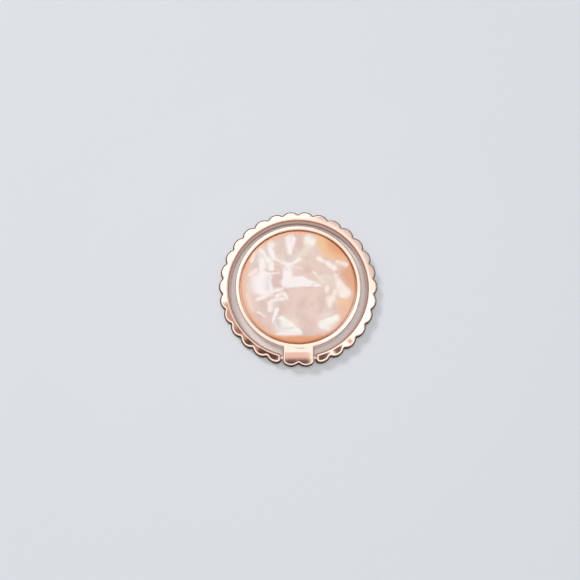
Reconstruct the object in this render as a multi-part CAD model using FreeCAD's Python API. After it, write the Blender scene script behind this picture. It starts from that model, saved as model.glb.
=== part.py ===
import FreeCAD, Part

import math
import os

# Phone ring holder: a scalloped finger ring hinged to a bezel plate with a shell inlay.
# The bezel plate swivels on a base plate, which an adhesive pad holds to the back of a phone.
# Frame: origin on the phone's surface at the swivel axis, +Z away from the phone, hinge lug towards -Y.

# Driving dimensions, in millimetres

# Scalloped outline that the ring and the hinge lug share
scallop_count = 30
lug_scallop_count = 2
crest_radius = 20.0
scallop_depth = 0.8

# Finger ring
ring_band = 1.8
ring_thickness = 2.4
ring_lift = 1.0
ring_end_outer_round = 0.95
ring_end_inner_round = 0.65
ring_bevel = 0.4

# Heights of the stack, from the phone outwards
pad_thickness = 0.8
base_thickness = 0.8
washer_thickness = 0.28
floor_thickness = 0.9
recess_depth = 1.4
skirt_gap = 0.5
lug_drop = 0.35

# Bezel plate with its hinge lug
bezel_rim_width = 1.15
bezel_outer_bevel = 0.4
bezel_inner_bevel = 0.25
skirt_wall = 1.75
lug_corner_round = 0.85
lug_valley_round = 0.3
lug_top_bevel = 0.5
lug_under_bevel = 0.3

# Adhesive pad and friction washer
pad_inset = 0.3
washer_radius = 7.0

# Swivel rivet
rivet_radius = 2.0
rivet_bore_radius = 1.2
rivet_head_radius = 3.4
rivet_head_thickness = 0.32
rivet_foot_radius = 3.2
rivet_foot_thickness = 0.3

# Shell inlay
inlay_side_height = 0.65
inlay_shoulder = 0.6
inlay_crown = 0.3
inlay_table_radius = 12.0

# Hinge pin
pin_radius = 0.6
pin_bevel = 0.12

# Clearances
ring_clearance = 1.65
hinge_gap = 0.4
skirt_clearance = 0.3
inlay_clearance = 0.1
washer_clearance = 0.02
rivet_clearance = 0.05
rivet_seat_clearance = 0.01
rivet_head_recess = 0.06
pin_running_clearance = 0.03
pin_seat_clearance = 0.01
pin_end_clearance = 0.15

# Lengths that differ by less than this count as the same
length_tolerance = 1e-4

# Heights worked out from the stack
base_bottom = pad_thickness
base_top = base_bottom + base_thickness
washer_top = base_top + washer_thickness
floor_bottom = washer_top + washer_clearance
floor_top = floor_bottom + floor_thickness
bezel_top = floor_top + recess_depth
lug_top = bezel_top - lug_drop
ring_top = ring_lift + ring_thickness
hinge_height = ring_lift + ring_thickness / 2

# Radii worked out inwards from the scallops
pitch = 2 * math.pi / scallop_count
valley_radius = crest_radius - scallop_depth
ring_inner_radius = valley_radius - ring_band
bezel_radius = ring_inner_radius - ring_clearance
recess_radius = bezel_radius - bezel_rim_width
inlay_radius = recess_radius - inlay_clearance
skirt_radius = bezel_radius - skirt_wall
base_radius = skirt_radius - skirt_clearance
pad_radius = base_radius - pad_inset


def polar(radius, angle):
    """Point in the XY plane, with its angle counted from -Y towards +X."""
    return FreeCAD.Vector(radius * math.sin(angle), -radius * math.cos(angle), 0)


def valley_angle(valley):
    """Angle of a valley, counted from the one on the lug's -X side."""
    return (valley - lug_scallop_count / 2) * pitch


def lobe_angle(lobe):
    """Angle of a lobe's crest: lobe 0 follows valley 0."""
    return valley_angle(lobe + 0.5)


# Each lobe is part of a circle through its crest and the valleys beside it
lobe_half_chord = valley_radius * math.sin(pitch / 2)
lobe_rise = crest_radius - valley_radius * math.cos(pitch / 2)
lobe_radius = (lobe_half_chord ** 2 + lobe_rise ** 2) / (2 * lobe_rise)
lobe_centre_radius = crest_radius - lobe_radius

# The hinge gap lies over the valley between the lug's last lobe and the ring's first
gap_valley = lug_scallop_count
gap_middle_x = polar(valley_radius, valley_angle(gap_valley)).x
lug_half_width = gap_middle_x - hinge_gap / 2
ring_end_x = gap_middle_x + hinge_gap / 2

# The hinge axis runs through the middle of the ring's ends, and the pin reaches under their first crests
ring_middle_radius = (ring_inner_radius + valley_radius) / 2
hinge_y = -math.sqrt(ring_middle_radius ** 2 - ring_end_x ** 2)
pin_half_length = polar(crest_radius, lobe_angle(gap_valley)).x
pin_hole_half_length = pin_half_length + pin_end_clearance


def disc(radius, bottom, top, centre=FreeCAD.Vector(0, 0, 0)):
    """Upright cylinder, about the swivel axis unless a centre is given."""
    return Part.makeCylinder(radius, top - bottom, centre + FreeCAD.Vector(0, 0, bottom))


def lobe_centre(lobe):
    """Centre of a lobe's circle in the XY plane."""
    return polar(lobe_centre_radius, lobe_angle(lobe))


def hinge_rod(radius, half_length):
    """Cylinder about the hinge axis."""
    start = FreeCAD.Vector(-half_length, hinge_y, hinge_height)
    return Part.makeCylinder(radius, 2 * half_length, start, FreeCAD.Vector(1, 0, 0))


def hinge_side_block(half_width, bottom, top):
    """Block as wide as given, from the swivel axis out past the scallops on the hinge side."""
    reach = 2 * crest_radius
    corner = FreeCAD.Vector(-half_width, -reach, bottom)
    return Part.makeBox(2 * half_width, reach, top - bottom, corner)


def turned(corners, centre=FreeCAD.Vector(0, 0, 0), seam=FreeCAD.Vector(1, 0, 0)):
    """Solid of revolution from (radius, height) corners, with its seam in the given level direction."""
    points = [centre + seam * radius + FreeCAD.Vector(0, 0, height) for radius, height in corners]
    outline = Part.makePolygon(points + points[:1])
    return Part.Face(outline).revolve(centre, FreeCAD.Vector(0, 0, 1), 360)


def close(first, second):
    """Whether two lengths are the same."""
    return abs(first - second) < length_tolerance


def level_edges(solid, height):
    """Edges that lie in the plane at that height."""
    return [edge for edge in solid.Edges
            if close(edge.BoundBox.ZMin, height) and close(edge.BoundBox.ZMax, height)]


def rim(solid, radius, height):
    """Circular edges about the swivel axis, of that radius and height."""
    return [edge for edge in level_edges(solid, height) if close(edge.BoundBox.XMax, radius)]


def upright_edges(solid):
    """Edges that run straight up."""
    return [edge for edge in solid.Edges
            if close(edge.BoundBox.XLength, 0) and close(edge.BoundBox.YLength, 0)]


def end_corners(solid, x):
    """Upright edges at that distance either side of the YZ plane, outside and inside the hinge axis."""
    corners = [edge for edge in upright_edges(solid) if close(abs(edge.BoundBox.Center.x), x)]
    outer = [edge for edge in corners if edge.BoundBox.Center.y < hinge_y]
    inner = [edge for edge in corners if edge.BoundBox.Center.y > hinge_y]
    return outer, inner


def valley_edges(solid):
    """Upright edges in the valleys between lobes."""
    return [edge for edge in upright_edges(solid)
            if close(math.hypot(edge.BoundBox.Center.x, edge.BoundBox.Center.y), valley_radius)]


def ring_lobe(lobe):
    """Whole disc of one lobe of the ring, with a bevelled top and its seam towards the finger hole."""
    inwards = polar(-1, lobe_angle(lobe))
    return turned([
        (0, ring_lift),
        (lobe_radius, ring_lift),
        (lobe_radius, ring_top - ring_bevel),
        (lobe_radius - ring_bevel, ring_top),
        (0, ring_top),
    ], lobe_centre(lobe), inwards)


def ring_end():
    """End of the ring at the hinge's +X side: the first lobe, with round corners and a bevelled top."""
    end = disc(lobe_radius, ring_lift, ring_top, lobe_centre(lug_scallop_count))
    end = end.cut(disc(ring_inner_radius, ring_lift, ring_top))
    end = end.cut(hinge_side_block(ring_end_x, ring_lift, ring_top))
    end = end.makeFillet(ring_end_outer_round, end_corners(end, ring_end_x)[0])
    end = end.makeFillet(ring_end_inner_round, end_corners(end, ring_end_x)[1])
    return end.makeChamfer(ring_bevel, level_edges(end, ring_top))


def finger_ring():
    """Ring of overlapping lobes, open at the hinge, with a blind pin hole in each end."""
    finger_hole = turned([
        (0, ring_lift),
        (ring_inner_radius, ring_lift),
        (ring_inner_radius, ring_top - ring_bevel),
        (ring_inner_radius + ring_bevel, ring_top),
        (0, ring_top),
    ])
    lobes = [ring_lobe(lobe) for lobe in range(lug_scallop_count + 1, scallop_count - 1)]
    band = lobes[0].multiFuse(lobes[1:]).cut(finger_hole)
    right_end = ring_end()
    left_end = right_end.mirror(FreeCAD.Vector(0, 0, 0), FreeCAD.Vector(1, 0, 0))
    ring = band.multiFuse([right_end, left_end]).removeSplitter()
    return ring.cut(hinge_rod(pin_radius + pin_seat_clearance, pin_hole_half_length))


def hinge_lug():
    """Lug that carries the ring's lobes on across the hinge, rooted in the bezel's wall."""
    lobes = [disc(lobe_radius, skirt_gap, lug_top, lobe_centre(lobe)) for lobe in range(lug_scallop_count)]
    arm_length = lobe_centre_radius * math.cos(pitch / 2)
    arm_corner = FreeCAD.Vector(-lug_half_width, -arm_length, skirt_gap)
    arm = Part.makeBox(2 * lug_half_width, arm_length, lug_top - skirt_gap, arm_corner)
    lug = arm.multiFuse(lobes).common(hinge_side_block(lug_half_width, skirt_gap, lug_top)).removeSplitter()
    root_radius = (bezel_radius + max(recess_radius, skirt_radius)) / 2
    lug = lug.cut(disc(root_radius, skirt_gap, lug_top))
    lug = lug.makeFillet(lug_corner_round, end_corners(lug, lug_half_width)[0])
    lug = lug.makeFillet(lug_valley_round, valley_edges(lug))
    for height, bevel in ((lug_top, lug_top_bevel), (skirt_gap, lug_under_bevel)):
        outline = [edge for edge in level_edges(lug, height) if edge.BoundBox.YMin < -bezel_radius]
        lug = lug.makeChamfer(bevel, outline)
    return lug


def bezel_plate():
    """Cup with a bezel round the inlay, a skirt round the base plate and the hinge lug."""
    head_seat_radius = rivet_head_radius + rivet_clearance
    head_seat = floor_top - rivet_head_recess - rivet_head_thickness - washer_clearance
    bore_radius = rivet_radius + rivet_clearance
    cup = turned([
        (bore_radius, floor_bottom),
        (skirt_radius, floor_bottom),
        (skirt_radius, skirt_gap),
        (bezel_radius, skirt_gap),
        (bezel_radius, bezel_top),
        (recess_radius, bezel_top),
        (recess_radius, floor_top),
        (head_seat_radius, floor_top),
        (head_seat_radius, head_seat),
        (bore_radius, head_seat),
    ])
    cup = cup.makeChamfer(bezel_outer_bevel, rim(cup, bezel_radius, bezel_top))
    cup = cup.makeChamfer(bezel_inner_bevel, rim(cup, recess_radius, bezel_top))
    plate = cup.fuse(hinge_lug()).removeSplitter()
    return plate.cut(hinge_rod(pin_radius + pin_running_clearance, crest_radius))


def shell_inlay():
    """Low cabochon with a sloping shoulder, a gentle crown and a flat table, glued into the bezel."""
    shoulder_bottom = floor_top + inlay_side_height
    shoulder_top = shoulder_bottom + inlay_shoulder
    return turned([
        (0, floor_top),
        (inlay_radius, floor_top),
        (inlay_radius, shoulder_bottom),
        (inlay_radius - inlay_shoulder, shoulder_top),
        (inlay_table_radius, shoulder_top + inlay_crown),
        (0, shoulder_top + inlay_crown),
    ])


def base_plate():
    """Flat disc with a seat underneath for the rivet's foot."""
    hole_radius = rivet_radius + rivet_seat_clearance
    foot_seat_radius = rivet_foot_radius + rivet_clearance
    foot_seat = base_bottom + rivet_foot_thickness
    return turned([
        (foot_seat_radius, base_bottom),
        (base_radius, base_bottom),
        (base_radius, base_top),
        (hole_radius, base_top),
        (hole_radius, foot_seat),
        (foot_seat_radius, foot_seat),
    ])


def swivel_rivet():
    """Tubular rivet: its foot is formed into the base plate, and its head holds the bezel plate."""
    head_top = floor_top - rivet_head_recess
    head_bottom = head_top - rivet_head_thickness
    foot_top = base_bottom + rivet_foot_thickness
    return turned([
        (rivet_bore_radius, base_bottom),
        (rivet_foot_radius, base_bottom),
        (rivet_foot_radius, foot_top),
        (rivet_radius, foot_top),
        (rivet_radius, head_bottom),
        (rivet_head_radius, head_bottom),
        (rivet_head_radius, head_top),
        (rivet_bore_radius, head_top),
    ])


def friction_washer():
    """Flat washer that drags on the bezel plate, so that it stays where it is turned."""
    hole = disc(rivet_radius + rivet_clearance, base_top, washer_top)
    return disc(washer_radius, base_top, washer_top).cut(hole)


def adhesive_pad():
    """Foam disc with adhesive on both faces."""
    return disc(pad_radius, 0, pad_thickness)


def hinge_pin():
    """Straight pin, held in the ring's ends and turning in the lug."""
    pin = hinge_rod(pin_radius, pin_half_length)
    ends = [edge for edge in pin.Edges if close(edge.BoundBox.XLength, 0)]
    return pin.makeChamfer(pin_bevel, ends)


def main():
    pieces = {
        "adhesive_pad": adhesive_pad(),
        "base_plate": base_plate(),
        "friction_washer": friction_washer(),
        "swivel_rivet": swivel_rivet(),
        "bezel_plate": bezel_plate(),
        "shell_inlay": shell_inlay(),
        "finger_ring": finger_ring(),
        "hinge_pin": hinge_pin(),
    }
    os.makedirs("parts", exist_ok=True)
    for name, shape in pieces.items():
        solid = shape.Solids[0]
        solid.exportStep("parts/" + name + ".step")
        print("%-16s %d solid, valid %s, %.2f mm3" % (name, len(shape.Solids), solid.isValid(), solid.Volume))


main()
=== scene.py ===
import math

import bmesh
import bpy
from mathutils import Matrix, Vector


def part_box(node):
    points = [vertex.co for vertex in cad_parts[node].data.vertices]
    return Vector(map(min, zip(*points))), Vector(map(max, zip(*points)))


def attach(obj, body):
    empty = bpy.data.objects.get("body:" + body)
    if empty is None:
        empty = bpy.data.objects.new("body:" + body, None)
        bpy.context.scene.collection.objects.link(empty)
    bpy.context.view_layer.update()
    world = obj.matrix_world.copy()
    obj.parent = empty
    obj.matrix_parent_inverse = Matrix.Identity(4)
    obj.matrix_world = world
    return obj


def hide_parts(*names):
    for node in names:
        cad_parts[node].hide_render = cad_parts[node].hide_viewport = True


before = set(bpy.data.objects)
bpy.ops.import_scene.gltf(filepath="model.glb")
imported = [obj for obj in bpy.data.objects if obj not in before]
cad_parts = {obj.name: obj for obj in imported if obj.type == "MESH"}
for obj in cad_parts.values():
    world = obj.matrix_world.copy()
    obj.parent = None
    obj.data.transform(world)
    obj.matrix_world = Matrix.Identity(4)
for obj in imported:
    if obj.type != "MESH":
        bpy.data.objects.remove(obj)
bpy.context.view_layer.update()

MM = 0.001
UP = (0, 0, 1)
ORIGIN = (0, 0, 0)

ring_low, ring_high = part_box("finger_ring")
bezel_low, bezel_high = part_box("bezel_plate")
inlay_low, inlay_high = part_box("shell_inlay")
pin_low, pin_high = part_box("hinge_pin")

# Scalloped edge that the ring and the hinge lug share
scallop_count = 30
lug_scallop_count = 2
scallop_depth = 0.8 * MM
valley_round = 0.22 * MM
level_strip = 0.05 * MM
crest_radius = ring_high.x
valley_radius = crest_radius - scallop_depth
pitch = 2 * math.pi / scallop_count

# Finger ring
ring_band = 1.8 * MM
ring_inner_radius = valley_radius - ring_band
ring_bottom = ring_low.z
ring_top = ring_high.z
ring_end_outer_round = 0.95 * MM
ring_end_inner_round = 0.75 * MM
ring_top_edge = 0.65 * MM
ring_top_fall = 0.9 * MM
ring_under_edge = 0.3 * MM

# Bezel plate and hinge lug
bezel_radius = bezel_high.x
bezel_top = bezel_high.z
bezel_bottom = bezel_low.z
bezel_rim_width = 1.15 * MM
bezel_edge = 0.36 * MM
bezel_under_edge = 0.15 * MM
skirt_wall = 1.75 * MM
recess_floor = inlay_low.z
floor_thickness = 0.9 * MM
head_seat_radius = 3.45 * MM
head_seat_depth = 0.4 * MM
rivet_bore_radius = 2.05 * MM
lug_drop = 0.35 * MM
lug_corner_round = 0.95 * MM
lug_top_edge = 0.45 * MM
lug_top_fall = 0.6 * MM
lug_under_edge = 0.3 * MM
lug_lift_depth = 1.5 * lug_top_fall
lug_root_depth = 0.75 * bezel_rim_width
lug_root_run = 0.85 * MM
lug_root_step = 0.012 * MM
hinge_gap = 0.4 * MM

# Hinge pin and its bores
hinge_y = (pin_low.y + pin_high.y) / 2
hinge_z = (pin_low.z + pin_high.z) / 2
pin_radius = (pin_high.z - pin_low.z) / 2
pin_running_clearance = 0.03 * MM
pin_seat_clearance = 0.012 * MM
pin_end_clearance = 0.15 * MM

# Shell inlay
inlay_radius = inlay_high.x
inlay_dome_rise = 0.3 * MM
inlay_shoulder = 0.8 * MM

# Fineness of the meshes
merge_distance = 0.0005 * MM
match_distance = 0.002 * MM
smooth_angle = 35
inlay_smooth_angle = 50
lobe_steps = 16
valley_steps = 6
ring_end_steps = 8
ring_inside_steps = 320
lug_corner_steps = 10
under_edge_steps = 4
top_edge_steps = 10
bezel_steps = 240
bezel_edge_steps = 6
bezel_under_edge_steps = 2
inlay_steps = 160
inlay_dome_steps = 24
inlay_shoulder_steps = 8
bore_steps = 48

# Each lobe is part of a circle through its crest and the valleys beside it
lobe_half_chord = valley_radius * math.sin(pitch / 2)
lobe_rise = crest_radius - valley_radius * math.cos(pitch / 2)
lobe_radius = (lobe_half_chord ** 2 + lobe_rise ** 2) / (2 * lobe_rise)
lobe_centre_radius = crest_radius - lobe_radius

# The hinge gap lies over the valley between the lug's last lobe and the ring's first
gap_middle_x = valley_radius * math.sin(pitch * lug_scallop_count / 2)
lug_half_width = gap_middle_x - hinge_gap / 2
ring_end_x = gap_middle_x + hinge_gap / 2


# Modelling helpers

def polar(radius, angle, height=0.0):
    """Point at an angle counted from -Y towards +X."""
    return Vector((radius * math.sin(angle), -radius * math.cos(angle), height))


def close(first, second):
    return abs(first - second) < match_distance


def merge(bm):
    bmesh.ops.remove_doubles(bm, verts=bm.verts[:], dist=merge_distance)


def bevel(bm, edges, width, segments):
    bmesh.ops.bevel(bm, geom=edges, offset=width, offset_type="OFFSET", segments=segments, profile=0.5,
                    affect="EDGES", material=-1, clamp_overlap=False)


def smooth(mesh, angle=smooth_angle):
    """Shades a mesh smooth but for its sharp edges."""
    for polygon in mesh.polygons:
        polygon.use_smooth = True
    mesh.set_sharp_from_angle(angle=math.radians(angle))


def as_object(bm, name, angle=smooth_angle):
    """Object at the origin with the finished mesh."""
    bmesh.ops.recalc_face_normals(bm, faces=bm.faces[:])
    mesh = bpy.data.meshes.new(name)
    bm.to_mesh(mesh)
    bm.free()
    smooth(mesh, angle)
    piece = bpy.data.objects.new(name, mesh)
    bpy.context.scene.collection.objects.link(piece)
    return piece


def combine(piece, operation, *others):
    """Joins other closed meshes to a piece, or cuts them from it, and removes them."""
    for other in others:
        modifier = piece.modifiers.new("combine", "BOOLEAN")
        modifier.operation = operation
        modifier.solver = "MANIFOLD"
        modifier.object = other
    graph = bpy.context.evaluated_depsgraph_get()
    mesh = bpy.data.meshes.new_from_object(piece.evaluated_get(graph))
    piece.modifiers.clear()
    piece.data = mesh
    for other in others:
        bpy.data.objects.remove(other)


def heading(vector):
    return math.atan2(vector.y, vector.x)


def arc(centre, radius, start, end, steps, hollow=False):
    """Points of an arc with their directions into the material. A hollow arc turns clockwise."""
    turn = (end - start) % (2 * math.pi)
    if hollow:
        turn -= 2 * math.pi
    points = []
    for step in range(steps + 1):
        angle = start + turn * step / steps
        out = Vector((math.cos(angle), math.sin(angle), 0))
        points.append((centre + radius * out, out if hollow else -out))
    return points


def lobe_centre(index):
    return polar(lobe_centre_radius, pitch * (index + 0.5))


def valley_centre(index):
    """Centre of the small round valley before the lobe with that index."""
    half_spacing = lobe_centre_radius * math.sin(pitch / 2)
    reach = math.sqrt((lobe_radius + valley_round) ** 2 - half_spacing ** 2)
    return polar(lobe_centre_radius * math.cos(pitch / 2) + reach, pitch * index)


def scallops(first, last, start, end):
    """Lobes from one index to another, with a round valley between each two."""
    points = []
    for index in range(first, last + 1):
        centre = lobe_centre(index)
        arrive = start if index == first else heading(valley_centre(index) - centre)
        leave = end if index == last else heading(valley_centre(index + 1) - centre)
        points += arc(centre, lobe_radius, arrive, leave, lobe_steps)
        if index < last:
            valley = valley_centre(index + 1)
            from_lobe = heading(centre - valley)
            to_lobe = heading(lobe_centre(index + 1) - valley)
            points += arc(valley, valley_round, from_lobe, to_lobe, valley_steps, hollow=True)
    return points


def corner_in_lobe(index, side_x, radius):
    """Centre of a corner arc that touches a lobe from inside and an upright line beside it."""
    centre = lobe_centre(index)
    across = side_x - centre.x
    return Vector((side_x, centre.y - math.sqrt((lobe_radius - radius) ** 2 - across ** 2), 0))


def quarter(edge, fall, steps):
    """Points of a quarter of an ellipse, from its foot to its top, as inset and height."""
    angles = [math.pi / 2 * step / steps for step in range(steps + 1)]
    return [(edge * (1 - math.cos(angle)), fall * math.sin(angle)) for angle in angles]


def rounded_slab(bm, outline, bottom, top, under_edge, top_edge, top_fall):
    """Closed slab with rounded edges, made of rows of points along its outline.

    The rows do the work of a bevel, which runs into itself in the narrow valleys. The top edge comes in by
    top_edge and falls by top_fall. The first and last row keep the faces level.
    """
    under = reversed(quarter(under_edge, under_edge, under_edge_steps))
    over = quarter(top_edge, top_fall, top_edge_steps)
    rows = [(under_edge + level_strip, bottom)]
    rows += [(inset, bottom + under_edge - height) for inset, height in under]
    rows += [(inset, top - top_fall + height) for inset, height in over]
    rows.append((top_edge + level_strip, top))
    loops = []
    for inset, height in rows:
        rise = Vector((0, 0, height))
        loops.append([bm.verts.new(point + inset * inward + rise) for point, inward in outline])
    for lower, upper in zip(loops, loops[1:]):
        for here, (low, high) in enumerate(zip(lower, upper)):
            bm.faces.new((lower[here - 1], low, high, upper[here - 1]))
    bm.faces.new(loops[0][::-1])
    bm.faces.new(loops[-1])
    merge(bm)


def hinge_rod(name, radius, half_length):
    """Closed cylinder about the hinge axis, to cut a bore."""
    bm = bmesh.new()
    end = bmesh.ops.create_circle(bm, cap_ends=True, segments=bore_steps, radius=radius)
    upright = Matrix.Rotation(math.radians(90), 3, "Y")
    bmesh.ops.rotate(bm, verts=end["verts"], cent=ORIGIN, matrix=upright)
    bmesh.ops.translate(bm, verts=bm.verts[:], vec=(-half_length, hinge_y, hinge_z))
    out = bmesh.ops.extrude_face_region(bm, geom=bm.faces[:])
    moved = [item for item in out["geom"] if isinstance(item, bmesh.types.BMVert)]
    bmesh.ops.translate(bm, verts=moved, vec=(2 * half_length, 0, 0))
    return as_object(bm, name)


# Pieces

def finger_ring():
    """Open scalloped ring with round ends at the hinge, rounded along every edge."""
    first = lug_scallop_count // 2
    last = scallop_count - 1 - first
    right_outer = corner_in_lobe(first, ring_end_x + ring_end_outer_round, ring_end_outer_round)
    left_outer = corner_in_lobe(last, -ring_end_x - ring_end_outer_round, ring_end_outer_round)
    inner_x = ring_end_x + ring_end_inner_round
    inner_y = -math.sqrt((ring_inner_radius + ring_end_inner_round) ** 2 - inner_x ** 2)
    right_inner = Vector((inner_x, inner_y, 0))
    left_inner = Vector((-inner_x, inner_y, 0))
    into_first = heading(right_outer - lobe_centre(first))
    out_of_last = heading(left_outer - lobe_centre(last))
    outline = arc(right_outer, ring_end_outer_round, math.pi, into_first, ring_end_steps)
    outline += scallops(first, last, into_first, out_of_last)
    outline += arc(left_outer, ring_end_outer_round, out_of_last, 0, ring_end_steps)
    outline += arc(left_inner, ring_end_inner_round, 0, heading(-left_inner), ring_end_steps)
    outline += arc(Vector(ORIGIN), ring_inner_radius, heading(left_inner), heading(right_inner),
                   ring_inside_steps, hollow=True)
    outline += arc(right_inner, ring_end_inner_round, heading(-right_inner), math.pi, ring_end_steps)
    bm = bmesh.new()
    rounded_slab(bm, outline, ring_bottom, ring_top, ring_under_edge, ring_top_edge, ring_top_fall)
    piece = as_object(bm, "scalloped_ring")
    half_length = pin_high.x + pin_end_clearance
    bore_radius = pin_radius + pin_seat_clearance
    combine(piece, "DIFFERENCE", hinge_rod("ring_pin_bore", bore_radius, half_length))
    smooth(piece.data)
    return piece


def hinge_lug():
    """Lug with two of the scallops, from inside the bezel's wall out to the crests."""
    root = bezel_radius - lug_root_depth
    side = lug_half_width - lug_corner_round
    left_corner = corner_in_lobe(-1, -side, lug_corner_round)
    right_corner = corner_in_lobe(0, side, lug_corner_round)
    into_first = heading(left_corner - lobe_centre(-1))
    out_of_last = heading(right_corner - lobe_centre(0))
    outline = [(Vector((-lug_half_width, -root, 0)), Vector((1, 0, 0)))]
    outline += arc(left_corner, lug_corner_round, math.pi, into_first, lug_corner_steps)
    outline += scallops(-1, 0, into_first, out_of_last)
    outline += arc(right_corner, lug_corner_round, out_of_last, 0, lug_corner_steps)
    outline += [(Vector((lug_half_width, -root, 0)), Vector((-1, 0, 0)))]
    bm = bmesh.new()
    lug_top = bezel_top - lug_drop
    lug_bottom = bezel_bottom + lug_root_step
    rounded_slab(bm, outline, lug_bottom, lug_top, lug_under_edge, lug_top_edge, lug_top_fall)
    raise_lug_root(bm, lug_top - lug_lift_depth)
    return as_object(bm, "hinge_lug")


def raise_lug_root(bm, lowest):
    """Slopes the lug's top, all that lies above the lowest height, up to the flat of the bezel's rim."""
    foot = -bezel_radius - lug_root_run
    head = -bezel_radius + bezel_edge
    for cut in (foot - level_strip, foot, foot + level_strip, head - level_strip, head):
        everything = bm.verts[:] + bm.edges[:] + bm.faces[:]
        bmesh.ops.bisect_plane(bm, geom=everything, dist=merge_distance, plane_co=(0, cut, 0),
                               plane_no=(0, 1, 0))
    for vert in bm.verts:
        share = min(max((vert.co.y - foot) / (head - foot), 0), 1)
        if vert.co.z > lowest:
            vert.co.z += (lug_drop - lug_root_step) * share


def turned(bm, corners, steps):
    """Spins a closed chain of (radius, height) corners about the swivel axis."""
    verts = [bm.verts.new((radius, 0, height)) for radius, height in corners]
    edges = [bm.edges.new((first, second)) for first, second in zip(verts, verts[1:] + verts[:1])]
    bmesh.ops.spin(bm, geom=verts + edges, cent=ORIGIN, axis=UP, angle=2 * math.pi, steps=steps,
                   use_merge=True)
    merge(bm)
    bmesh.ops.recalc_face_normals(bm, faces=bm.faces[:])


def circle_edges(bm, radius, height):
    """Edges of the circle about the swivel axis with that radius and height."""
    return [edge for edge in bm.edges
            if all(close(vert.co.z, height) and close(math.hypot(vert.co.x, vert.co.y), radius)
                   for vert in edge.verts)]


def bezel_plate():
    """Cup with a rounded rim, joined with the hinge lug and bored for the pin."""
    skirt_radius = bezel_radius - skirt_wall
    recess_radius = bezel_radius - bezel_rim_width
    floor_bottom = recess_floor - floor_thickness
    head_seat = recess_floor - head_seat_depth
    bm = bmesh.new()
    turned(bm, [
        (rivet_bore_radius, floor_bottom),
        (skirt_radius, floor_bottom),
        (skirt_radius, bezel_bottom),
        (bezel_radius, bezel_bottom),
        (bezel_radius, bezel_top),
        (bezel_radius - bezel_edge - level_strip, bezel_top),
        (recess_radius + bezel_edge + level_strip, bezel_top),
        (recess_radius, bezel_top),
        (recess_radius, recess_floor),
        (head_seat_radius, recess_floor),
        (head_seat_radius, head_seat),
        (rivet_bore_radius, head_seat),
    ], bezel_steps)
    rim_edges = circle_edges(bm, bezel_radius, bezel_top) + circle_edges(bm, recess_radius, bezel_top)
    bevel(bm, rim_edges, bezel_edge, bezel_edge_steps)
    foot_edges = circle_edges(bm, bezel_radius, bezel_bottom) + circle_edges(bm, skirt_radius, bezel_bottom)
    bevel(bm, foot_edges, bezel_under_edge, bezel_under_edge_steps)
    piece = as_object(bm, "bezel_cup")
    combine(piece, "UNION", hinge_lug())
    bore_radius = pin_radius + pin_running_clearance
    combine(piece, "DIFFERENCE", hinge_rod("lug_pin_bore", bore_radius, crest_radius))
    smooth(piece.data)
    return piece


def shell_inlay():
    """Cabochon: a low dome with a round shoulder, spun from its profile."""
    edge_height = inlay_high.z - inlay_dome_rise
    dome_radius = (inlay_radius ** 2 + inlay_dome_rise ** 2) / (2 * inlay_dome_rise)
    bm = bmesh.new()
    top = bm.verts.new((0, 0, inlay_high.z))
    dome = bmesh.ops.spin(bm, geom=[top], cent=(0, 0, inlay_high.z - dome_radius), axis=(0, 1, 0),
                          angle=math.asin(inlay_radius / dome_radius), steps=inlay_dome_steps)
    rim = dome["geom_last"][0]
    foot = bm.verts.new((inlay_radius, 0, inlay_low.z))
    middle = bm.verts.new((0, 0, inlay_low.z))
    bm.edges.new((rim, foot))
    bm.edges.new((foot, middle))
    bmesh.ops.spin(bm, geom=bm.verts[:] + bm.edges[:], cent=ORIGIN, axis=UP, angle=2 * math.pi,
                   steps=inlay_steps, use_merge=True)
    merge(bm)
    bmesh.ops.recalc_face_normals(bm, faces=bm.faces[:])
    bevel(bm, circle_edges(bm, inlay_radius, edge_height), inlay_shoulder, inlay_shoulder_steps)
    return as_object(bm, "shell_cabochon", inlay_smooth_angle)


# Shader helpers

def srgb(red, green, blue):
    """Linear colour, with alpha, from 0 to 255 display values."""
    linear = []
    for value in (red, green, blue):
        share = value / 255
        linear.append(share / 12.92 if share <= 0.04045 else ((share + 0.055) / 1.055) ** 2.4)
    return (*linear, 1.0)


def add(tree, kind, inputs=None, **settings):
    """Adds a node, with its settings, and its inputs as values or links."""
    node = tree.nodes.new(kind)
    for name, value in settings.items():
        setattr(node, name, value)
    for name, value in (inputs or {}).items():
        if isinstance(value, bpy.types.NodeSocket):
            tree.links.new(value, node.inputs[name])
        else:
            node.inputs[name].default_value = value
    return node


def calc(tree, operation, *values):
    """Output of a Math node."""
    return add(tree, "ShaderNodeMath", dict(enumerate(values)), operation=operation).outputs[0]


def vector_calc(tree, operation, *values):
    """Vector output of a Vector Math node."""
    return add(tree, "ShaderNodeVectorMath", dict(enumerate(values)), operation=operation).outputs["Vector"]


def vector_size(tree, operation, *values):
    """Value output of a Vector Math node."""
    return add(tree, "ShaderNodeVectorMath", dict(enumerate(values)), operation=operation).outputs["Value"]


def ease(tree, value, start, end):
    """Smooth step of a value, from 0 at start to 1 at end."""
    inputs = {"Value": value, "From Min": start, "From Max": end}
    return add(tree, "ShaderNodeMapRange", inputs, interpolation_type="SMOOTHSTEP").outputs["Result"]


# Numbers of the Mix node's sockets for colours
mix_factor = 0
mix_first_colour = 6
mix_second_colour = 7
mix_colour = 2


def blend_colour(tree, amount, first, second):
    """Mix of two colours."""
    inputs = {mix_factor: amount, mix_first_colour: first, mix_second_colour: second}
    return add(tree, "ShaderNodeMix", inputs, data_type="RGBA").outputs[mix_colour]


def noise(tree, point, scale, detail=2.0, roughness=0.5):
    inputs = {"Vector": point, "Scale": scale, "Detail": detail, "Roughness": roughness}
    return add(tree, "ShaderNodeTexNoise", inputs).outputs["Fac"]


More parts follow.
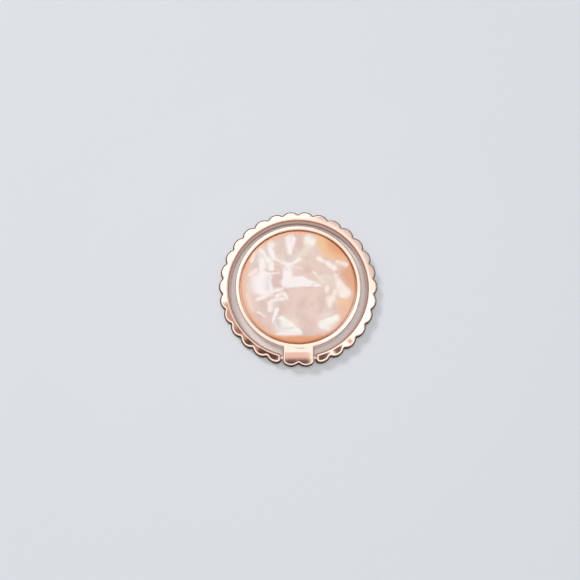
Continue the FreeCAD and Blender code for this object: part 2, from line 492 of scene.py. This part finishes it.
def new_material(name):
    """Material with its node tree, its shader and the place on the piece in millimetres."""
    material = bpy.data.materials.new(name)
    material.use_nodes = True
    tree = material.node_tree
    shader = tree.nodes["Principled BSDF"]
    place = add(tree, "ShaderNodeTexCoord").outputs["Object"]
    per_mm = (1 / MM, 1 / MM, 1 / MM)
    in_mm = add(tree, "ShaderNodeMapping", {"Vector": place, "Scale": per_mm}).outputs["Vector"]
    return material, tree, shader, in_mm


def new_group(name, inputs, outputs):
    """Shader node group with float, vector or colour sockets."""
    group = bpy.data.node_groups.new(name, "ShaderNodeTree")
    for direction, sockets in (("INPUT", inputs), ("OUTPUT", outputs)):
        for socket_name, kind in sockets:
            group.interface.new_socket(name=socket_name, in_out=direction, socket_type="NodeSocket" + kind)
    entry = group.nodes.new("NodeGroupInput").outputs
    leave = group.nodes.new("NodeGroupOutput").inputs
    return group, entry, leave


def place_group(tree, group, inputs):
    return add(tree, "ShaderNodeGroup", inputs, node_tree=group).outputs


def metal_wear_group():
    """Fine rubbing marks and soft blotches that all the metals have."""
    group, entry, leave = new_group(
        "metal_wear",
        [("Point", "Vector"), ("Grain", "Float"), ("Marks", "Float"), ("Roughness", "Float")],
        [("Roughness", "Float"), ("Height", "Float"), ("Tarnish", "Float")])
    slant = {"Vector": entry["Point"], "Rotation": (0.3, 0.2, 0.7), "Scale": (1, 14, 1)}
    stretch = add(group, "ShaderNodeMapping", slant).outputs["Vector"]
    scratches = noise(group, stretch, entry["Grain"], detail=3.0)
    blotches = noise(group, entry["Point"], 0.35, detail=3.0)
    marks = calc(group, "MULTIPLY", ease(group, scratches, 0.5, 0.75), entry["Marks"])
    uneven = calc(group, "MULTIPLY_ADD", blotches, 0.5, 0.75)
    group.links.new(calc(group, "MULTIPLY_ADD", uneven, entry["Roughness"], marks), leave["Roughness"])
    group.links.new(scratches, leave["Height"])
    group.links.new(ease(group, blotches, 0.45, 0.75), leave["Tarnish"])
    return group


def shell_flake_group():
    """One shard of pearly shell: a tapering, bent field with soft sides, laid over the colour under it.

    The point's height counts how much shell lies there, for the bump.
    """
    group, entry, leave = new_group(
        "shell_flake",
        [("Under", "Color"), ("Point", "Vector"), ("Centre", "Vector"), ("Turn", "Float"),
         ("Length", "Float"), ("Half Width", "Float"), ("Widening", "Float"), ("Bend", "Float"),
         ("Left Soft", "Float"), ("Right Soft", "Float"), ("Tint", "Color"), ("Amount", "Float"),
         ("Sheen", "Float")],
        [("Colour", "Color"), ("Point", "Vector")])
    away = vector_calc(group, "SUBTRACT", entry["Point"], entry["Centre"])
    turned_back = add(group, "ShaderNodeVectorRotate", {"Vector": away, "Angle": entry["Turn"]},
                      rotation_type="Z_AXIS", invert=True)
    local = add(group, "ShaderNodeSeparateXYZ", {0: turned_back.outputs[0]}).outputs
    along = calc(group, "DIVIDE", local["X"], entry["Length"])
    square = calc(group, "MULTIPLY", along, along)
    across = calc(group, "MULTIPLY_ADD", calc(group, "SUBTRACT", square, 1.0), entry["Bend"], local["Y"])
    from_start = calc(group, "MULTIPLY_ADD", along, 0.5, 0.5)
    straight = calc(group, "MULTIPLY_ADD", from_start, entry["Widening"], entry["Half Width"])
    room = calc(group, "SUBTRACT", entry["Length"], calc(group, "ABSOLUTE", local["X"]))
    half = calc(group, "SMOOTH_MIN", straight, room, 0.5)
    left_room = calc(group, "DIVIDE", calc(group, "SUBTRACT", half, across), entry["Left Soft"])
    left = ease(group, left_room, -1.0, 1.0)
    right_room = calc(group, "DIVIDE", calc(group, "ADD", half, across), entry["Right Soft"])
    right = ease(group, right_room, -1.0, 1.0)
    sides = calc(group, "MULTIPLY", left, right)
    tips = ease(group, calc(group, "DIVIDE", room, entry["Length"]), -0.05, 0.4)
    amount = calc(group, "MULTIPLY", calc(group, "MULTIPLY", sides, tips),
                  calc(group, "MULTIPLY", entry["Amount"], entry["Sheen"]))
    group.links.new(blend_colour(group, amount, entry["Under"], entry["Tint"]), leave["Colour"])
    rise = add(group, "ShaderNodeCombineXYZ", {"Z": amount}).outputs["Vector"]
    group.links.new(vector_calc(group, "ADD", entry["Point"], rise), leave["Point"])
    return group


# Colours of the shell
blush = srgb(231, 203, 191)
rosy = srgb(225, 189, 180)
mauve = srgb(217, 188, 180)
taupe = srgb(209, 193, 183)
mist = srgb(206, 195, 194)
lilac = srgb(224, 216, 215)
sage = srgb(234, 223, 208)
peach = srgb(237, 185, 155)
apricot = srgb(244, 196, 150)
orange = srgb(231, 158, 112)
cream = srgb(254, 238, 228)
ivory = srgb(251, 246, 236)
pearl = srgb(252, 242, 239)

# Shards of shell: start and end, half width at the start and the end, bend, and softness of the left and
# right side, all in millimetres, then tint and amount
shards = (
    # Shaded facets that the bright shards lie on
    (-2.3, 9.6, -2.4, 5.2, 1.9, 0.6, 0.0, 0.7, 0.7, taupe, 0.75),
    (-10.6, 8.6, -10.9, 4.0, 0.6, 0.7, 0.0, 0.5, 0.5, taupe, 0.75),
    (-4.0, 12.6, -4.4, 9.0, 0.8, 0.9, 0.0, 0.8, 0.8, taupe, 0.6),
    (-9.8, -3.7, -7.0, -6.8, 1.2, 1.1, 0.0, 0.7, 0.7, mauve, 0.8),
    (1.2, -8.8, 4.5, -10.8, 1.2, 1.2, 0.0, 1.0, 1.0, rosy, 0.75),
    (-0.4, 13.0, 0.9, 9.0, 1.0, 0.8, 0.0, 0.8, 0.8, rosy, 0.7),
    (-11.5, 0.5, -7.0, 1.5, 3.5, 3.5, 0.0, 1.5, 1.5, lilac, 0.5),
    (-8.5, 9.5, -8.0, 4.5, 3.0, 2.5, 0.0, 1.5, 1.5, lilac, 0.5),
    # Top and upper left
    (-1.8, 13.9, -2.2, 7.3, 1.75, 0.35, 0.0, 0.4, 0.5, pearl, 1.0),
    (-1.72, 13.4, -1.72, 10.8, 0.22, 0.14, 0.0, 0.2, 0.2, mist, 0.45),
    (1.0, 12.4, 5.0, 10.9, 1.3, 1.2, 0.0, 1.0, 1.0, ivory, 1.0),
    (3.6, 10.4, -0.8, 6.2, 1.3, 0.6, 0.0, 1.2, 0.4, sage, 0.85),
    (-7.9, 11.1, -5.6, 10.2, 0.75, 0.65, 0.0, 0.6, 0.6, ivory, 0.8),
    (-7.5, 10.6, -5.9, 6.2, 0.62, 0.5, 0.0, 0.3, 0.3, pearl, 1.0),
    (-9.9, 9.9, -7.7, 6.6, 0.36, 0.34, 0.0, 0.25, 0.25, cream, 0.95),
    (-8.4, 9.7, -7.55, 7.5, 0.26, 0.24, 0.0, 0.2, 0.2, mist, 0.75),
    (-8.4, 6.85, -6.6, 6.35, 0.5, 0.48, 0.0, 0.35, 0.35, pearl, 0.9),
    (-9.2, 7.6, -9.1, 3.0, 0.7, 0.75, 0.0, 0.35, 0.35, pearl, 0.95),
    (-6.9, 6.8, -6.85, 3.4, 0.7, 0.75, 0.0, 0.15, 0.5, ivory, 0.9),
    (-10.7, 9.1, -12.1, 5.5, 0.38, 0.3, 0.0, 0.25, 0.25, cream, 0.9),
    (-10.0, 4.3, -12.8, 2.3, 0.4, 0.45, 0.0, 0.3, 0.3, cream, 0.85),
    # Left
    (-8.9, 4.4, -8.5, -3.6, 2.6, 2.0, 0.0, 0.45, 0.9, pearl, 0.97),
    (-7.6, 2.8, -7.7, -1.9, 0.55, 0.55, 0.0, 0.5, 0.5, lilac, 0.8),
    (-10.0, 3.1, -4.0, 2.9, 0.3, 0.26, 0.0, 0.2, 0.2, cream, 0.95),
    (-5.0, 3.3, -5.0, -1.2, 1.75, 1.6, 0.0, 0.35, 0.35, mauve, 0.95),
    # Crossing streaks
    (-6.6, 7.2, -1.8, 5.1, 0.25, 0.36, -0.2, 0.28, 0.28, pearl, 0.85),
    (-3.2, 5.0, 1.2, 7.2, 0.36, 0.46, -0.15, 0.28, 0.28, pearl, 0.95),
    (-3.5, 5.35, -1.5, 5.35, 0.42, 0.42, 0.0, 0.35, 0.35, pearl, 0.9),
    (-2.6, 5.35, 1.8, 3.8, 0.2, 0.17, 0.0, 0.2, 0.2, cream, 0.6),
    # Middle wedge and the crease under it
    (-2.9, 5.4, -2.1, -1.6, 1.05, 1.35, 0.0, 0.4, 0.4, pearl, 1.0),
    (-3.5, 4.1, -2.5, 4.0, 0.28, 0.28, 0.0, 0.25, 0.25, mist, 0.5),
    (-5.0, 0.65, 2.6, 1.05, 1.2, 1.4, 0.0, 0.35, 0.15, pearl, 1.0),
    (-1.2, 1.25, 6.6, -0.25, 1.7, 0.02, 0.0, 0.3, 0.15, pearl, 1.0),
    (-11.0, -4.0, -5.6, -2.0, 0.42, 0.38, 0.1, 0.28, 0.28, cream, 1.0),
    (-7.3, -1.8, -3.0, -0.8, 0.6, 0.45, 0.0, 0.4, 0.25, pearl, 0.9),
    # Painted shadow: the dark line along the crease
    (-7.2, -2.65, -0.2, -0.6, 0.18, 0.15, 0.2, 0.16, 0.16, taupe, 0.8),
    # Right
    (5.1, 10.8, 9.2, 6.0, 0.2, 0.26, -0.5, 0.16, 0.16, apricot, 0.95),
    (4.3, 7.2, 10.0, 3.8, 0.46, 0.56, 0.25, 0.28, 0.28, cream, 0.97),
    (4.2, 7.1, 6.3, 6.8, 0.62, 0.55, 0.0, 0.35, 0.35, cream, 0.95),
    (7.4, 5.5, 10.0, 3.9, 0.62, 0.6, 0.0, 0.3, 0.3, cream, 0.95),
    (9.0, 6.3, 12.9, 5.1, 0.2, 0.9, 0.0, 0.22, 0.45, cream, 0.95),
    (3.3, 4.2, 7.2, 0.1, 0.25, 0.2, -0.25, 0.18, 0.18, cream, 0.97),
    (4.6, 1.7, 8.9, 1.6, 1.2, 1.3, 0.0, 0.35, 1.0, sage, 0.85),
    (8.7, 3.9, 12.3, -3.8, 0.12, 1.9, 0.0, 0.4, 0.4, cream, 0.95),
    (7.3, 0.1, 6.95, -2.2, 0.5, 0.44, 0.0, 0.25, 0.25, cream, 0.95),
    (9.4, -0.8, 8.4, -4.0, 0.52, 0.44, 0.0, 0.35, 0.35, cream, 0.85),
    (8.0, -2.3, 7.75, -6.4, 1.5, 0.05, 0.0, 0.4, 0.4, cream, 0.9),
    (9.0, -3.7, 13.0, -4.9, 0.6, 0.7, 0.0, 0.5, 0.5, apricot, 0.9),
    # Lower left
    (-6.1, -3.1, -3.1, -1.7, 0.48, 0.42, 0.0, 0.22, 0.22, pearl, 1.0),
    (-3.7, -1.6, -2.4, -4.0, 0.5, 0.32, 0.0, 0.22, 0.22, cream, 1.0),
    (-7.2, -4.1, -3.1, -3.25, 0.36, 0.42, 0.0, 0.28, 0.28, pearl, 0.97),
    (-7.2, -3.7, -6.8, -7.2, 0.6, 0.66, 0.0, 0.3, 0.22, cream, 1.0),
    (-5.0, -5.2, -6.5, -10.0, 0.66, 0.15, 0.0, 0.22, 0.22, pearl, 1.0),
    (-12.8, -1.5, -10.5, -7.4, 0.38, 0.34, -0.45, 0.5, 0.5, cream, 0.5),
    (-10.5, -6.5, -7.7, -8.1, 0.26, 0.26, 0.0, 0.22, 0.22, cream, 0.8),
    # Bottom
    (-6.3, -8.6, 1.8, -12.4, 2.2, 0.1, 0.0, 0.16, 0.35, ivory, 1.0),
    # Painted shade: grey shading inside the white shard above, in this row and the next
    (-5.1, -8.1, -4.7, -11.0, 0.65, 0.6, 0.0, 0.45, 0.45, mist, 0.9),
    (-5.5, -11.1, -0.7, -10.65, 0.36, 0.28, 0.0, 0.3, 0.3, lilac, 0.9),
    (-5.8, -12.0, 1.2, -12.2, 0.36, 0.3, 0.0, 0.28, 0.28, pearl, 0.95),
    (4.6, -9.3, 9.3, -7.5, 0.36, 0.3, 0.0, 0.28, 0.28, taupe, 0.8),
    (4.4, -10.6, 10.5, -7.5, 1.15, 0.6, 0.0, 0.15, 0.45, ivory, 1.0),
    (5.2, -10.2, 7.8, -11.1, 0.6, 0.5, 0.0, 0.4, 0.4, pearl, 0.95),
)

# Soft parts of the shell, warm near its rim and hazy round the shards: centre, and the distances at which
# they start and are full, in millimetres, then tint and amount
soft_parts = (
    ((10.9, 12.5, 0.0), 6.9, 5.7, apricot, 0.9),
    ((11.2, 11.6, 0.0), 5.6, 2.4, orange, 0.9),
    ((14.6, 2.6, 0.0), 5.4, 2.6, orange, 0.75),
    ((13.0, -6.4, 0.0), 5.0, 1.8, peach, 0.95),
    ((-9.6, 0.4, 0.0), 4.2, 0.8, pearl, 0.6),
    ((-8.6, 7.2, 0.0), 4.4, 0.8, pearl, 0.5),
    ((-2.0, 5.8, 0.0), 3.4, 0.4, pearl, 0.5),
    ((-7.0, -5.6, 0.0), 3.6, 0.5, lilac, 0.5),
    ((10.2, 0.4, 0.0), 2.8, 0.4, cream, 0.3),
    ((-2.8, -10.8, 0.0), 4.4, 1.0, pearl, 0.45),
    ((7.4, -9.4, 0.0), 3.6, 0.6, pearl, 0.45),
)


# Finish of the shell, with its lengths in millimetres
shard_softness = 1.35
ripple_swing = 0.8
peach_rim_start = 12.5
peach_rim_full = 13.9
orange_foot_start = -12.0
orange_foot_full = -13.3
streak_turn = math.radians(62)
streak_size = (5.0, 0.9, 1.0)
streak_depth = 0.35


def pearl_shell():
    """Blush shell with white shards and a peach rim under a clear gloss."""
    material, tree, shader, point = new_material("pearl_shell")
    ripple = add(tree, "ShaderNodeTexNoise", {"Vector": point, "Scale": 0.6, "Detail": 4.0}).outputs["Color"]
    shift = vector_calc(tree, "SUBTRACT", ripple, (0.5, 0.5, 0.5))
    swing = vector_calc(tree, "MULTIPLY", shift, (ripple_swing, ripple_swing, ripple_swing))
    level = vector_calc(tree, "MULTIPLY", vector_calc(tree, "ADD", point, swing), (1.0, 1.0, 0.0))
    radius = vector_size(tree, "LENGTH", level)
    height = add(tree, "ShaderNodeSeparateXYZ", {0: level}).outputs["Y"]
    clouds = noise(tree, point, 0.3, detail=4.0, roughness=0.6)
    colour = blend_colour(tree, ease(tree, clouds, 0.42, 0.68), blush, mauve)
    colour = blend_colour(tree, ease(tree, radius, peach_rim_start, peach_rim_full), colour, peach)
    for place, outer, inner, tint, amount in soft_parts:
        away = vector_size(tree, "DISTANCE", level, place)
        share = calc(tree, "MULTIPLY", ease(tree, away, outer, inner), amount)
        colour = blend_colour(tree, share, colour, tint)
    colour = blend_colour(tree, ease(tree, height, orange_foot_start, orange_foot_full), colour, orange)
    lay = {"Vector": point, "Rotation": (0, 0, streak_turn), "Scale": streak_size}
    streaks = add(tree, "ShaderNodeMapping", lay, vector_type="TEXTURE").outputs["Vector"]
    gleam = ease(tree, noise(tree, streaks, 1.0, detail=3.0, roughness=0.55), 0.3, 0.6)
    sheen = calc(tree, "MULTIPLY_ADD", gleam, streak_depth, 1 - streak_depth)
    flake = shell_flake_group()
    for x, y, end_x, end_y, half_width, end_half_width, bend, left, right, tint, amount in shards:
        laid = place_group(tree, flake, {
            "Under": colour, "Point": level, "Centre": ((x + end_x) / 2, (y + end_y) / 2, 0),
            "Turn": math.atan2(end_y - y, end_x - x), "Length": math.hypot(end_x - x, end_y - y) / 2,
            "Half Width": half_width, "Widening": end_half_width - half_width, "Bend": bend,
            "Left Soft": left * shard_softness, "Right Soft": right * shard_softness,
            "Tint": tint, "Amount": amount, "Sheen": sheen})
        colour = laid["Colour"]
        level = laid["Point"]
    tree.links.new(colour, shader.inputs["Base Color"])
    pile = add(tree, "ShaderNodeSeparateXYZ", {0: level}).outputs["Z"]
    add_bump(tree, shader, pile, strength=0.2, distance_mm=0.1)
    shader.inputs["Roughness"].default_value = 0.38
    shader.inputs["Coat Weight"].default_value = 0.5
    shader.inputs["Coat Roughness"].default_value = 0.06
    return material


def add_bump(tree, shader, height, strength, distance_mm):
    inputs = {"Height": height, "Strength": strength, "Distance": distance_mm * MM}
    bump = add(tree, "ShaderNodeBump", inputs)
    tree.links.new(bump.outputs["Normal"], shader.inputs["Normal"])


tarnish_amount = 0.35


def metal(name, colour, tarnish, grain, marks, roughness, bump):
    """Metal with rubbing marks, uneven gloss and a trace of tarnish."""
    material, tree, shader, point = new_material(name)
    inputs = {"Point": point, "Grain": grain, "Marks": marks, "Roughness": roughness}
    wear = place_group(tree, wear_group, inputs)
    amount = calc(tree, "MULTIPLY", wear["Tarnish"], tarnish_amount)
    tree.links.new(blend_colour(tree, amount, colour, tarnish), shader.inputs["Base Color"])
    tree.links.new(wear["Roughness"], shader.inputs["Roughness"])
    add_bump(tree, shader, wear["Height"], bump, distance_mm=0.02)
    shader.inputs["Metallic"].default_value = 1.0
    return material


def moulded(name, colour, shade, grain, roughness, bump):
    """Plain plastic or foam with a fine grain."""
    material, tree, shader, point = new_material(name)
    fine = noise(tree, point, grain, detail=4.0, roughness=0.6)
    broad = noise(tree, point, grain / 8)
    mottle = calc(tree, "MULTIPLY_ADD", fine, 0.5, calc(tree, "MULTIPLY", broad, 0.5))
    mottled = blend_colour(tree, ease(tree, mottle, 0.35, 0.65), colour, shade)
    tree.links.new(mottled, shader.inputs["Base Color"])
    tree.links.new(calc(tree, "MULTIPLY_ADD", fine, 0.25, roughness), shader.inputs["Roughness"])
    add_bump(tree, shader, fine, bump, distance_mm=0.06)
    return material


wear_group = metal_wear_group()


# Dressing the pieces

def paint(piece, material):
    piece.data.materials.clear()
    piece.data.materials.append(material)


def dress(piece, material):
    paint(piece, material)


rose_gold = metal("rose_gold_plate", srgb(243, 220, 210), srgb(236, 206, 192),
                  grain=5.0, marks=0.02, roughness=0.04, bump=0.01)
plain_steel = metal("plain_steel", srgb(205, 203, 200), srgb(180, 172, 165),
                    grain=2.0, marks=0.12, roughness=0.25, bump=0.15)
nylon = moulded("nylon", srgb(236, 232, 222), srgb(222, 216, 202), grain=3.0, roughness=0.4, bump=0.2)
foam = moulded("foam_tape", srgb(224, 224, 222), srgb(202, 202, 200), grain=2.2, roughness=0.7, bump=0.6)

ring = finger_ring()
dress(ring, rose_gold)
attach(ring, "ring")
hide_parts("finger_ring")

bezel = bezel_plate()
dress(bezel, rose_gold)
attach(bezel, "plate")
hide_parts("bezel_plate")

inlay = shell_inlay()
dress(inlay, pearl_shell())
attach(inlay, "plate")
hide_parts("shell_inlay")

plain_nodes = (
    ("hinge_pin", plain_steel),
    ("base_plate", plain_steel),
    ("swivel_rivet", plain_steel),
    ("friction_washer", nylon),
    ("adhesive_pad", foam),
)
for node_name, finish in plain_nodes:
    paint(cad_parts[node_name], finish)


# Studio

# Camera: looks down at the holder from the lug's side, and places its middle as the photo does
camera_tilt = math.radians(13.0)
camera_distance = 125 * MM
camera_aim = Vector((-2.07, -0.86, 2.6)) * MM
camera_lens = 30.8
camera_sensor = 36.0
camera_nearest = 0.01

# Colours of the floor, and of what the metal mirrors
pale_floor_colour = srgb(226, 229, 233)
# Painted glow: the metal's warm light on the floor close to it
painted_glow_floor_colour = srgb(232, 223, 220)
white_glow = srgb(255, 250, 242)
blush_glow = srgb(206, 174, 163)
copper_glow = srgb(158, 120, 108)
brown_glow = srgb(98, 69, 60)
dark_glow = srgb(48, 32, 26)

# Floor, with the radii in millimetres between which its painted warm glow from the metal ends and its
# shading fades out
floor_half_width = 3.0
painted_glow_end = (18.0, 20.0)
floor_fade = (80.0, 400.0)
surround_light = 0.35

# Place overhead that the ring's level top mirrors to the camera, and the cards there
mirror_middle = (0.010, 0.145)
mirror_height = 0.60
ring_card_inner = 0.099
ring_card_outer = 0.135
arc_card_steps = 24
round_card_steps = 64


def seen_directly(tree):
    """1 for what the camera sees, straight or mirrored, and 0 for what only lights the scene."""
    rays = add(tree, "ShaderNodeLightPath").outputs
    mirrored = calc(tree, "MAXIMUM", rays["Is Glossy Ray"], rays["Is Transmission Ray"])
    return calc(tree, "MAXIMUM", rays["Is Camera Ray"], mirrored)


def plain_floor():
    """Pale surface that the pad sticks to, with a painted warm glow from the metal close to it, which runs
    out into the background.
    """
    bm = bmesh.new()
    bmesh.ops.create_grid(bm, x_segments=1, y_segments=1, size=floor_half_width)
    floor = as_object(bm, "pale_floor")
    material, tree, shader, point = new_material("pale_floor")
    shader.inputs["Roughness"].default_value = 0.7
    away = vector_size(tree, "LENGTH", point)
    colour = blend_colour(tree, ease(tree, away, *painted_glow_end), painted_glow_floor_colour, pale_floor_colour)
    tree.links.new(colour, shader.inputs["Base Color"])
    far = calc(tree, "MULTIPLY", ease(tree, away, *floor_fade), seen_directly(tree))
    glow = add(tree, "ShaderNodeEmission", {"Color": pale_floor_colour})
    both = add(tree, "ShaderNodeMixShader", {0: far, 1: shader.outputs[0], 2: glow.outputs[0]})
    tree.links.new(both.outputs[0], tree.nodes["Material Output"].inputs["Surface"])
    floor.data.materials.append(material)


def soft_surround():
    """Even pale light from all round, and a pale background."""
    world = bpy.data.worlds.new("soft_surround")
    world.use_nodes = True
    tree = world.node_tree
    background = tree.nodes["Background"]
    background.inputs["Color"].default_value = pale_floor_colour
    strength = calc(tree, "MULTIPLY_ADD", seen_directly(tree), 1 - surround_light, surround_light)
    tree.links.new(strength, background.inputs["Strength"])
    bpy.context.scene.world = world


def softbox(name, place, width, depth, power, turn=(0, 0, 0)):
    """Soft lamp that faces down unless it is turned."""
    lamp = bpy.data.lights.new(name, "AREA")
    lamp.shape = "RECTANGLE"
    lamp.size = width
    lamp.size_y = depth
    lamp.energy = power
    holder = bpy.data.objects.new(name, lamp)
    holder.location = place
    holder.rotation_euler = turn
    bpy.context.scene.collection.objects.link(holder)
    return holder


def studio_card(name, bm, glow, strength=1.0):
    """Card that shows only in what mirrors it."""
    card = as_object(bm, name)
    material = bpy.data.materials.new(name)
    material.use_nodes = True
    shader = material.node_tree.nodes["Principled BSDF"]
    shader.inputs["Base Color"].default_value = (0, 0, 0, 1)
    shader.inputs["Specular IOR Level"].default_value = 0.0
    shader.inputs["Emission Color"].default_value = glow
    shader.inputs["Emission Strength"].default_value = strength
    card.data.materials.append(material)
    card.visible_camera = False
    card.visible_diffuse = False
    card.visible_shadow = False


def level_card(name, low, high, height, glow, strength=1.0):
    """Level rectangular card between two corners."""
    bm = bmesh.new()
    bmesh.ops.create_grid(bm, x_segments=1, y_segments=1, size=0.5)
    bmesh.ops.scale(bm, verts=bm.verts[:], vec=(high[0] - low[0], high[1] - low[1], 1))
    middle = ((low[0] + high[0]) / 2, (low[1] + high[1]) / 2, height)
    bmesh.ops.translate(bm, verts=bm.verts[:], vec=middle)
    studio_card(name, bm, glow, strength)


def arc_card(name, inner, outer, start, end, glow, height=mirror_height):
    """Level card in the shape of part of a ring, about the place that the ring's top mirrors."""
    middle = Vector((*mirror_middle, height))
    bm = bmesh.new()
    near = bm.verts.new(middle + Vector((inner, 0, 0)))
    far = bm.verts.new(middle + Vector((outer, 0, 0)))
    edge = bm.edges.new((near, far))
    turn = Matrix.Rotation(math.radians(start), 3, "Z")
    bmesh.ops.rotate(bm, verts=[near, far], cent=middle, matrix=turn)
    bmesh.ops.spin(bm, geom=[near, far, edge], cent=middle, axis=UP, angle=math.radians(end - start),
                   steps=arc_card_steps)
    studio_card(name, bm, glow)


def round_card(name, chain, glow, strength=1.0):
    """Card spun from a chain of (radius, height) points."""
    bm = bmesh.new()
    verts = [bm.verts.new((radius, 0, height)) for radius, height in chain]
    edges = [bm.edges.new(pair) for pair in zip(verts, verts[1:])]
    bmesh.ops.spin(bm, geom=verts + edges, cent=ORIGIN, axis=UP, angle=2 * math.pi,
                   steps=round_card_steps, use_merge=True)
    merge(bm)
    studio_card(name, bm, glow, strength)


plain_floor()
soft_surround()

# Lamps: a key from the upper left and a broad light overhead, and two panels that the metal mirrors
key_place = Vector((-0.95, 0.85, 1.5))
key_turn = (-key_place).to_track_quat("-Z", "Y").to_euler()
key = softbox("key_softbox", key_place, width=0.45, depth=0.45, power=11.5, turn=key_turn)
key.visible_glossy = False
overhead = softbox("overhead_softbox", (0.0, 0.0, 1.86), width=0.6, depth=0.6, power=13.7)
overhead.visible_glossy = False
panel_turn = (0, 0, math.radians(52))
softbox("upper_left_panel", (-0.27, 0.36, mirror_height), width=0.60, depth=0.60, power=0.36,
        turn=panel_turn)
softbox("lower_right_panel", (0.17, 0.02, mirror_height), width=0.25, depth=0.22, power=0.08)

# Pale ceiling, and a dark band low down all round
ceiling_height = 1.0
ceiling_radius = 0.9
round_card("pale_ceiling", ((0.0, ceiling_height), (ceiling_radius, ceiling_height)), white_glow,
           strength=1.3)
horizon_radius = 1.2
horizon_height = 0.21
round_card("horizon_dark_band", ((horizon_radius, 0.0), (horizon_radius, horizon_height)), dark_glow)

# Bands close over the floor that the upright walls mirror: inner and outer radius in millimetres, and colour
# The dark bands close to the part stand in for the floor's shade round it: painted shadow that only shows in
# what the walls mirror
collar_height = 0.05 * MM
collar_bands = (
    (13.6, 18.6, srgb(188, 175, 172)),
    (18.6, 22.8, srgb(60, 41, 35)),
    (22.8, 25.0, srgb(92, 70, 62)),
    (25.0, 28.0, srgb(118, 95, 87)),
    (28.0, 34.0, srgb(140, 118, 110)),
    (34.0, 60.0, srgb(100, 78, 70)),
    (60.0, 1200.0, dark_glow),
)
for inner, outer, glow in collar_bands:
    round_card("dark_collar", ((inner * MM, collar_height), (outer * MM, collar_height)), glow)

# Cards that the ring's lower lobes mirror, by turns light and dark: start and end in degrees, and colour
lower_lobe_cards = (
    (194, 216, blush_glow),
    (216, 222, copper_glow),
    (222, 227, blush_glow),
    (227, 234, brown_glow),
    (234, 239, blush_glow),
    (239, 294, brown_glow),
    (297, 305, brown_glow),
    (310, 313, copper_glow),
)
for start, end, glow in lower_lobe_cards:
    arc_card("lower_lobe_card", ring_card_inner, ring_card_outer, start, end, glow)

# Cards that the ring's right side mirrors, dark for its outer edge and pale for its level top
arc_card("right_dark_card", 0.24, 0.45, -20, 75, dark_glow, height=0.61)
arc_card("upper_right_card", 0.108, ring_card_outer, 5, 75, srgb(234, 222, 220))

# Cards that the lug mirrors, bright at its root, blush on its top and brown at its lobes
lug_card_height = 0.58
lug_card_left = -0.0112
lug_card_right = 0.0265
lug_card_back = 0.047
lug_card_middle = 0.0332
lug_card_front = 0.020
level_card("lug_bright_card", (-0.016, 0.022), (0.036, 0.056), 0.59, white_glow, strength=1.4)
level_card("lug_card", (lug_card_left, lug_card_middle), (lug_card_right, lug_card_back),
           lug_card_height, srgb(250, 224, 216))
level_card("lug_dark_card", (lug_card_left, lug_card_front), (lug_card_right, lug_card_middle),
           lug_card_height, srgb(105, 76, 67))

camera = bpy.data.cameras.new("camera")
camera.lens = camera_lens
camera.sensor_width = camera_sensor
camera.clip_start = camera_nearest
camera_holder = bpy.data.objects.new("camera", camera)
camera_side = Vector((0, -math.sin(camera_tilt), math.cos(camera_tilt)))
camera_holder.location = camera_aim + camera_distance * camera_side
camera_holder.rotation_euler = (camera_tilt, 0, 0)
bpy.context.scene.collection.objects.link(camera_holder)
bpy.context.scene.camera = camera_holder
bpy.context.scene.view_settings.view_transform = "Standard"
